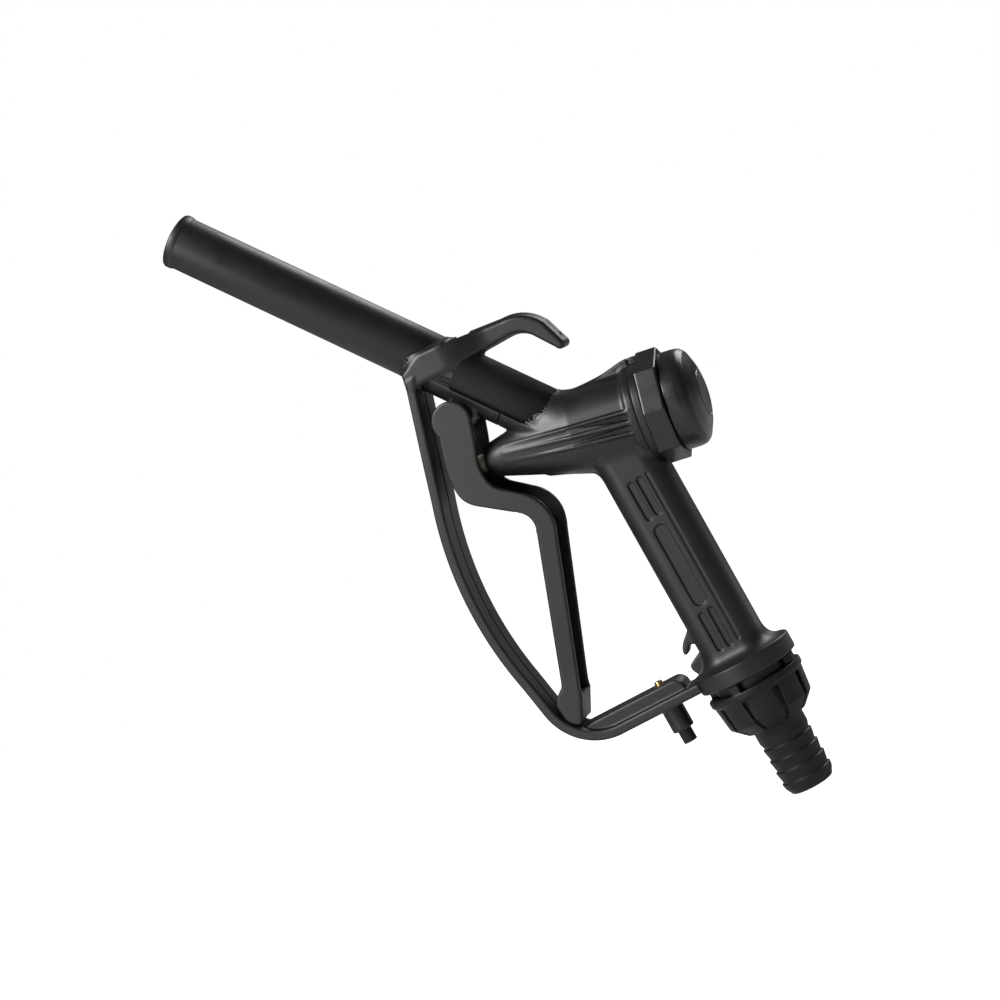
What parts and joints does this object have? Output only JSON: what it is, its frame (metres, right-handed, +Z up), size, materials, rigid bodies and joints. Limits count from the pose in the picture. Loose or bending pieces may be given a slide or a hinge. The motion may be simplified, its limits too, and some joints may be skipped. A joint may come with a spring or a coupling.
{
  "type": "fuel nozzle",
  "caption": "Manual fuel nozzle with a swinging trigger lever in a looped guard, a hanging hook, a long straight spout, a domed valve cap and a barbed hose tail",
  "frame": {"origin": "centre of the open end of the hose tail", "axes": "+Z up the grip from the hose tail, +X from the grip axis towards the valve cap, Y across the nozzle; XZ is the plane of symmetry"},
  "size_m": [0.1956, 0.0524, 0.3689],
  "materials": {
    "black_plastic": "fine moulded texture, soft sheen",
    "black_spout": "smooth moulded, soft sheen",
    "cream_plastic": "satin",
    "steel": "turned",
    "spring_steel": "drawn wire",
    "brass": "turned",
    "rubber": "smooth",
    "badge": "smooth, blank"
  },
  "bodies": {
    "frame": {"body": "black_plastic", "guard": "black_plastic", "spout_tube": "black_spout", "stem_bush": "cream_plastic", "stem_orings": "rubber", "seat_ring": "steel", "main_spring": "spring_steel", "clamp_ring": "black_plastic", "cap_plug": "black_plastic", "cap_oring": "rubber", "cap_cover": "black_plastic", "cap_badge": "badge", "latch_spring": "spring_steel", "latch_bush": "black_plastic", "coupling_nut": "black_plastic", "hose_tail": "black_plastic", "tail_gasket": "rubber", "inlet_strainer": "steel"},
    "lever": {"lever": "black_plastic", "lever_pin": "steel"},
    "valve": {"valve_stem": "cream_plastic", "poppet": "steel", "poppet_seal": "rubber", "poppet_nut": "steel"},
    "latch": {"latch_button": "black_plastic", "latch_tip": "brass"}
  },
  "joints": [
    {"name": "lever_swing", "type": "hinge", "parent": "frame", "child": "lever", "pos_m": [-0.0615, 0, 0.224], "axis": [0, -1, 0], "range_deg": [0, 16.2], "stiffness_Nm_per_rad": 0.8, "springref_deg": -14.32},
    {"name": "valve_slide", "type": "slide", "parent": "frame", "child": "valve", "axis": [0.9816, 0, -0.1908], "range_m": [0, 0.0068], "stiffness_N_per_m": 400, "springref_m": -0.006, "deforming": ["main_spring"]},
    {"name": "latch_slide", "type": "slide", "parent": "frame", "child": "latch", "axis": [0, 0, 1], "range_m": [0, 0.0038], "stiffness_N_per_m": 800, "springref_m": -0.003, "deforming": ["latch_spring"]}
  ],
  "couplings": [
    {"joint": "valve_slide", "follows": "lever_swing", "m_per_rad": 0.0234}
  ]
}
